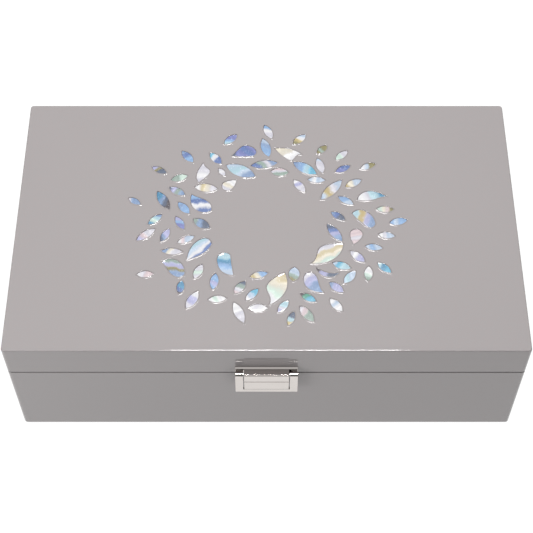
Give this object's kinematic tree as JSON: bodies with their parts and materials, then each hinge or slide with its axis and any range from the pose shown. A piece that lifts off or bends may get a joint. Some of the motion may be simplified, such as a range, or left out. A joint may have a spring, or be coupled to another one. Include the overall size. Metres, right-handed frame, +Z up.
{
  "type": "jewellery box",
  "caption": "Lacquered jewellery box with a hinged lid, shell-leaf inlay, front bail clasp, velvet lining, mirror and lift-out tray.",
  "frame": {"origin": "centre of the felt underside that the box rests on", "axes": "+X to the viewer's right along the width, -Y to the front with the clasp, +Z up"},
  "size_m": [0.3, 0.1851, 0.0925],
  "materials": {
    "lacquer": "wooden board under high-gloss warm grey lacquer",
    "felt": "pressed felt",
    "velvet": "short-pile velvet, pale silver grey",
    "ribbon": "satin ribbon",
    "mirror": "bevelled silvered glass",
    "nickel": "polished nickel plate",
    "steel": "turned steel",
    "bumper": "clear silicone dots",
    "shell_blue": "iridescent shell slip under lacquer",
    "shell_violet": "iridescent shell slip under lacquer",
    "shell_aqua": "iridescent shell slip under lacquer",
    "shell_green": "iridescent shell slip under lacquer",
    "shell_white": "iridescent shell slip under lacquer",
    "shell_rose": "iridescent shell slip under lacquer",
    "shell_gold": "iridescent shell slip under lacquer"
  },
  "bodies": {
    "base": {"base_bottom_panel": "lacquer", "base_front_wall": "lacquer", "base_back_wall": "lacquer", "base_left_wall": "lacquer", "base_right_wall": "lacquer", "base_felt": "felt", "base_floor_pad": "velvet", "base_ledge_front": "velvet", "base_ledge_back": "velvet", "base_ledge_left": "velvet", "base_ledge_right": "velvet", "base_rim_lining_front": "velvet", "base_rim_lining_back": "velvet", "base_rim_lining_left": "velvet", "base_rim_lining_right": "velvet", "base_divider_across": "velvet", "base_divider_long": "velvet", "base_divider_short": "velvet", "clasp_keeper": "nickel", "hinge_base_leaf_left": "nickel", "hinge_base_leaf_right": "nickel", "hinge_pins": "steel", "hinge_base_screws": "steel", "clasp_keeper_screws": "steel", "clasp_keeper_spring": "steel", "rim_bumpers": "bumper"},
    "lid": {"lid_top_panel": "lacquer", "lid_front_wall": "lacquer", "lid_back_wall": "lacquer", "lid_left_wall": "lacquer", "lid_right_wall": "lacquer", "lid_lining_front": "velvet", "lid_lining_back": "velvet", "lid_lining_left": "velvet", "lid_lining_right": "velvet", "lid_lining_pad": "velvet", "lid_mirror": "mirror", "hinge_lid_leaf_left": "nickel", "hinge_lid_leaf_right": "nickel", "hinge_lid_screws": "steel", "clasp_lid_bracket": "nickel", "clasp_pin": "nickel", "clasp_lid_screws": "steel", "shell_leaves_blue": "shell_blue", "shell_leaves_violet": "shell_violet", "shell_leaves_aqua": "shell_aqua", "shell_leaves_green": "shell_green", "shell_leaves_white": "shell_white", "shell_leaves_rose": "shell_rose", "shell_leaves_gold": "shell_gold"},
    "bail": {"clasp_bail": "nickel"},
    "tray": {"tray_floor": "velvet", "tray_front_wall": "velvet", "tray_back_wall": "velvet", "tray_left_wall": "velvet", "tray_right_wall": "velvet", "tray_long_dividers": "velvet", "tray_cross_dividers": "velvet", "ring_rolls": "velvet", "tray_pull_ribbons": "ribbon"}
  },
  "joints": [
    {"name": "lid_hinge", "type": "hinge", "parent": "base", "child": "lid", "pos_m": [0, 0.0877, 0.067], "axis": [-1, 0, 0], "range_deg": [0, 100], "deforming": ["clasp_keeper_spring"]},
    {"name": "clasp_swing", "type": "hinge", "parent": "lid", "child": "bail", "pos_m": [0, -0.0937, 0.0719], "axis": [-1, 0, 0], "range_deg": [0, 170], "deforming": ["clasp_keeper_spring"]},
    {"name": "tray_lift", "type": "slide", "parent": "base", "child": "tray", "axis": [0, 0, 1], "range_m": [0, 0.011]}
  ]
}
